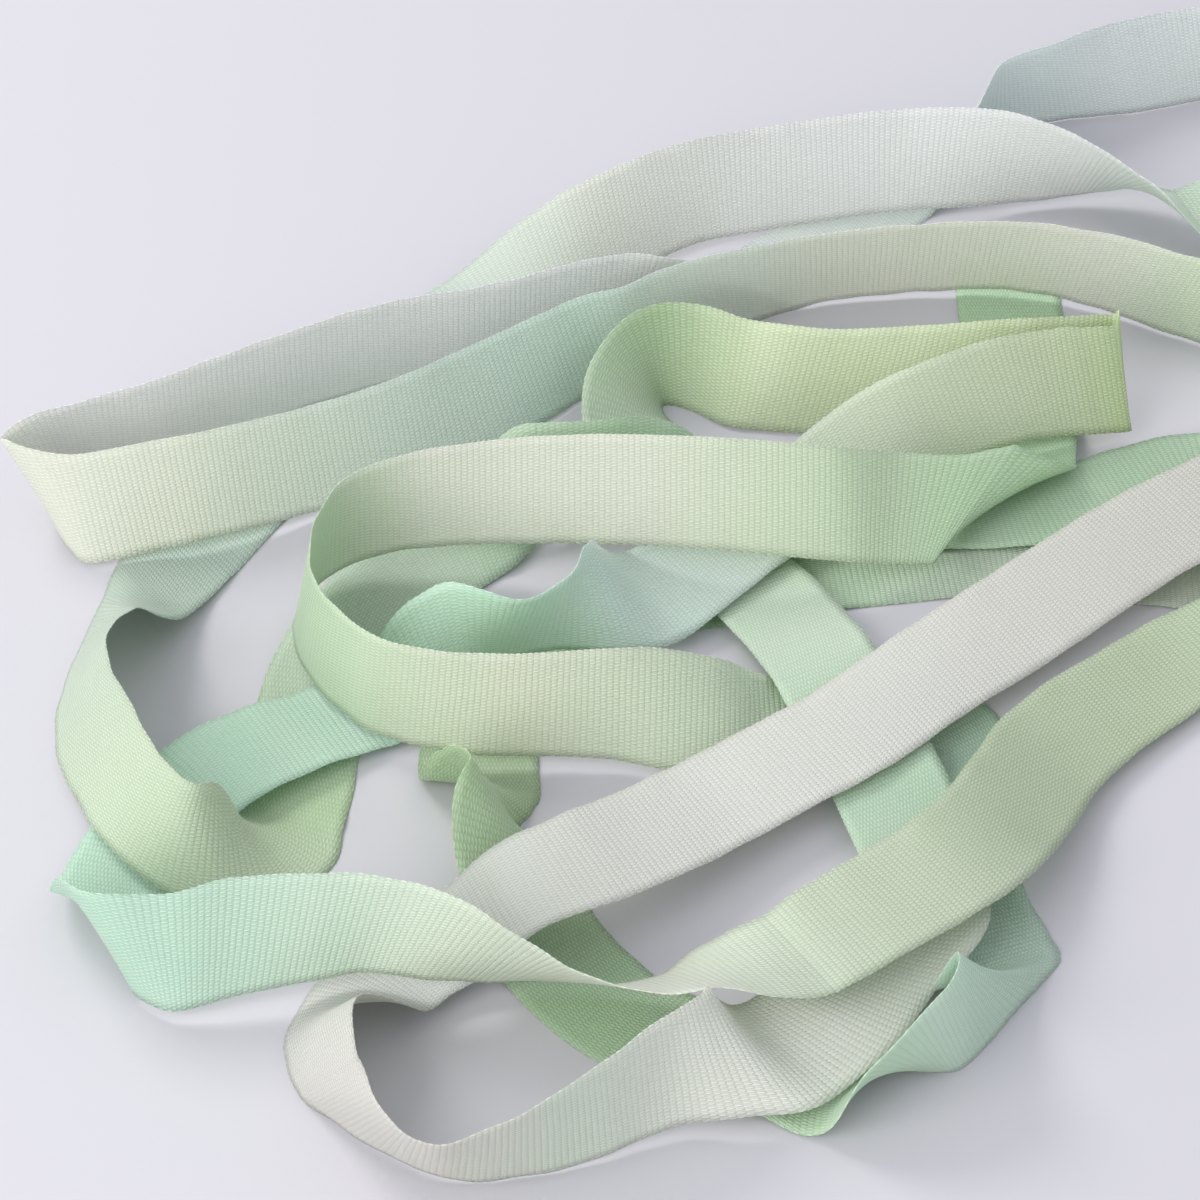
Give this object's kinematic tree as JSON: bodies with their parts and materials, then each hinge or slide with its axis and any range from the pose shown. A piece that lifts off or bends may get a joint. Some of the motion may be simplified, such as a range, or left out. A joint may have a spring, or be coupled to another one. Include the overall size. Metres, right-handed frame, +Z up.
{
  "type": "rhythmic ribbon wand",
  "caption": "Long narrow woven ribbon in loose loops, joined by an eyelet, link ring and swivel snap hook to a slim stick with a grooved soft grip.",
  "frame": {"origin": "centre of the overall box in plan, on the floor the ribbon and stick rest on", "axes": "+Z up from the floor; +Y along the stick from its butt to its tip; +X towards the side of the pile where the stick lies"},
  "size_m": [0.5828, 0.6891, 0.0562],
  "materials": {
    "ribbon_cloth": "plain-woven silk with a soft sheen",
    "thread": "matt thread",
    "plated_brass": "nickel plated",
    "steel": "polished",
    "hook_metal": "satin plated",
    "nylon": "matt",
    "ferrule_metal": "anodised",
    "rod": "smooth glass fibre",
    "grip_rubber": "matt",
    "cap_plastic": "satin"
  },
  "bodies": {
    "ribbon": {"ribbon": "ribbon_cloth", "free_end_hem": "ribbon_cloth", "end_reinforcement": "ribbon_cloth", "end_stitching": "thread", "eyelet": "plated_brass", "eyelet_washer": "plated_brass"},
    "ring": {"link_ring": "steel"},
    "hook": {"snap_hook": "hook_metal", "gate_pin": "steel", "gate_spring": "steel", "swivel_collar": "hook_metal"},
    "gate": {"hook_gate": "hook_metal"},
    "stick": {"swivel_stud": "steel", "thrust_washer": "nylon", "tip_ferrule": "ferrule_metal", "stick_rod": "rod", "grip_sleeve": "grip_rubber", "grip_collar": "cap_plastic", "butt_cap": "cap_plastic"}
  },
  "joints": [
    {"name": "ring_turn", "type": "hinge", "parent": "ribbon", "child": "ring", "pos_m": [0.271, 0.255, 0.0105], "axis": [0, 0, 1], "range_deg": [0, 30]},
    {"name": "hook_lift", "type": "hinge", "parent": "ring", "child": "hook", "pos_m": [0.271, 0.2455, 0.0105], "axis": [-1, 0, 0], "range_deg": [0, 40]},
    {"name": "gate_open", "type": "hinge", "parent": "hook", "child": "gate", "pos_m": [0.2765, 0.218, 0.0105], "axis": [0, 0, 1], "range_deg": [0, 20], "stiffness_Nm_per_rad": 0.002},
    {"name": "stick_spin", "type": "hinge", "parent": "hook", "child": "stick", "pos_m": [0.271, 0.2, 0.0105], "axis": [0, 1, 0], "continuous": true}
  ]
}
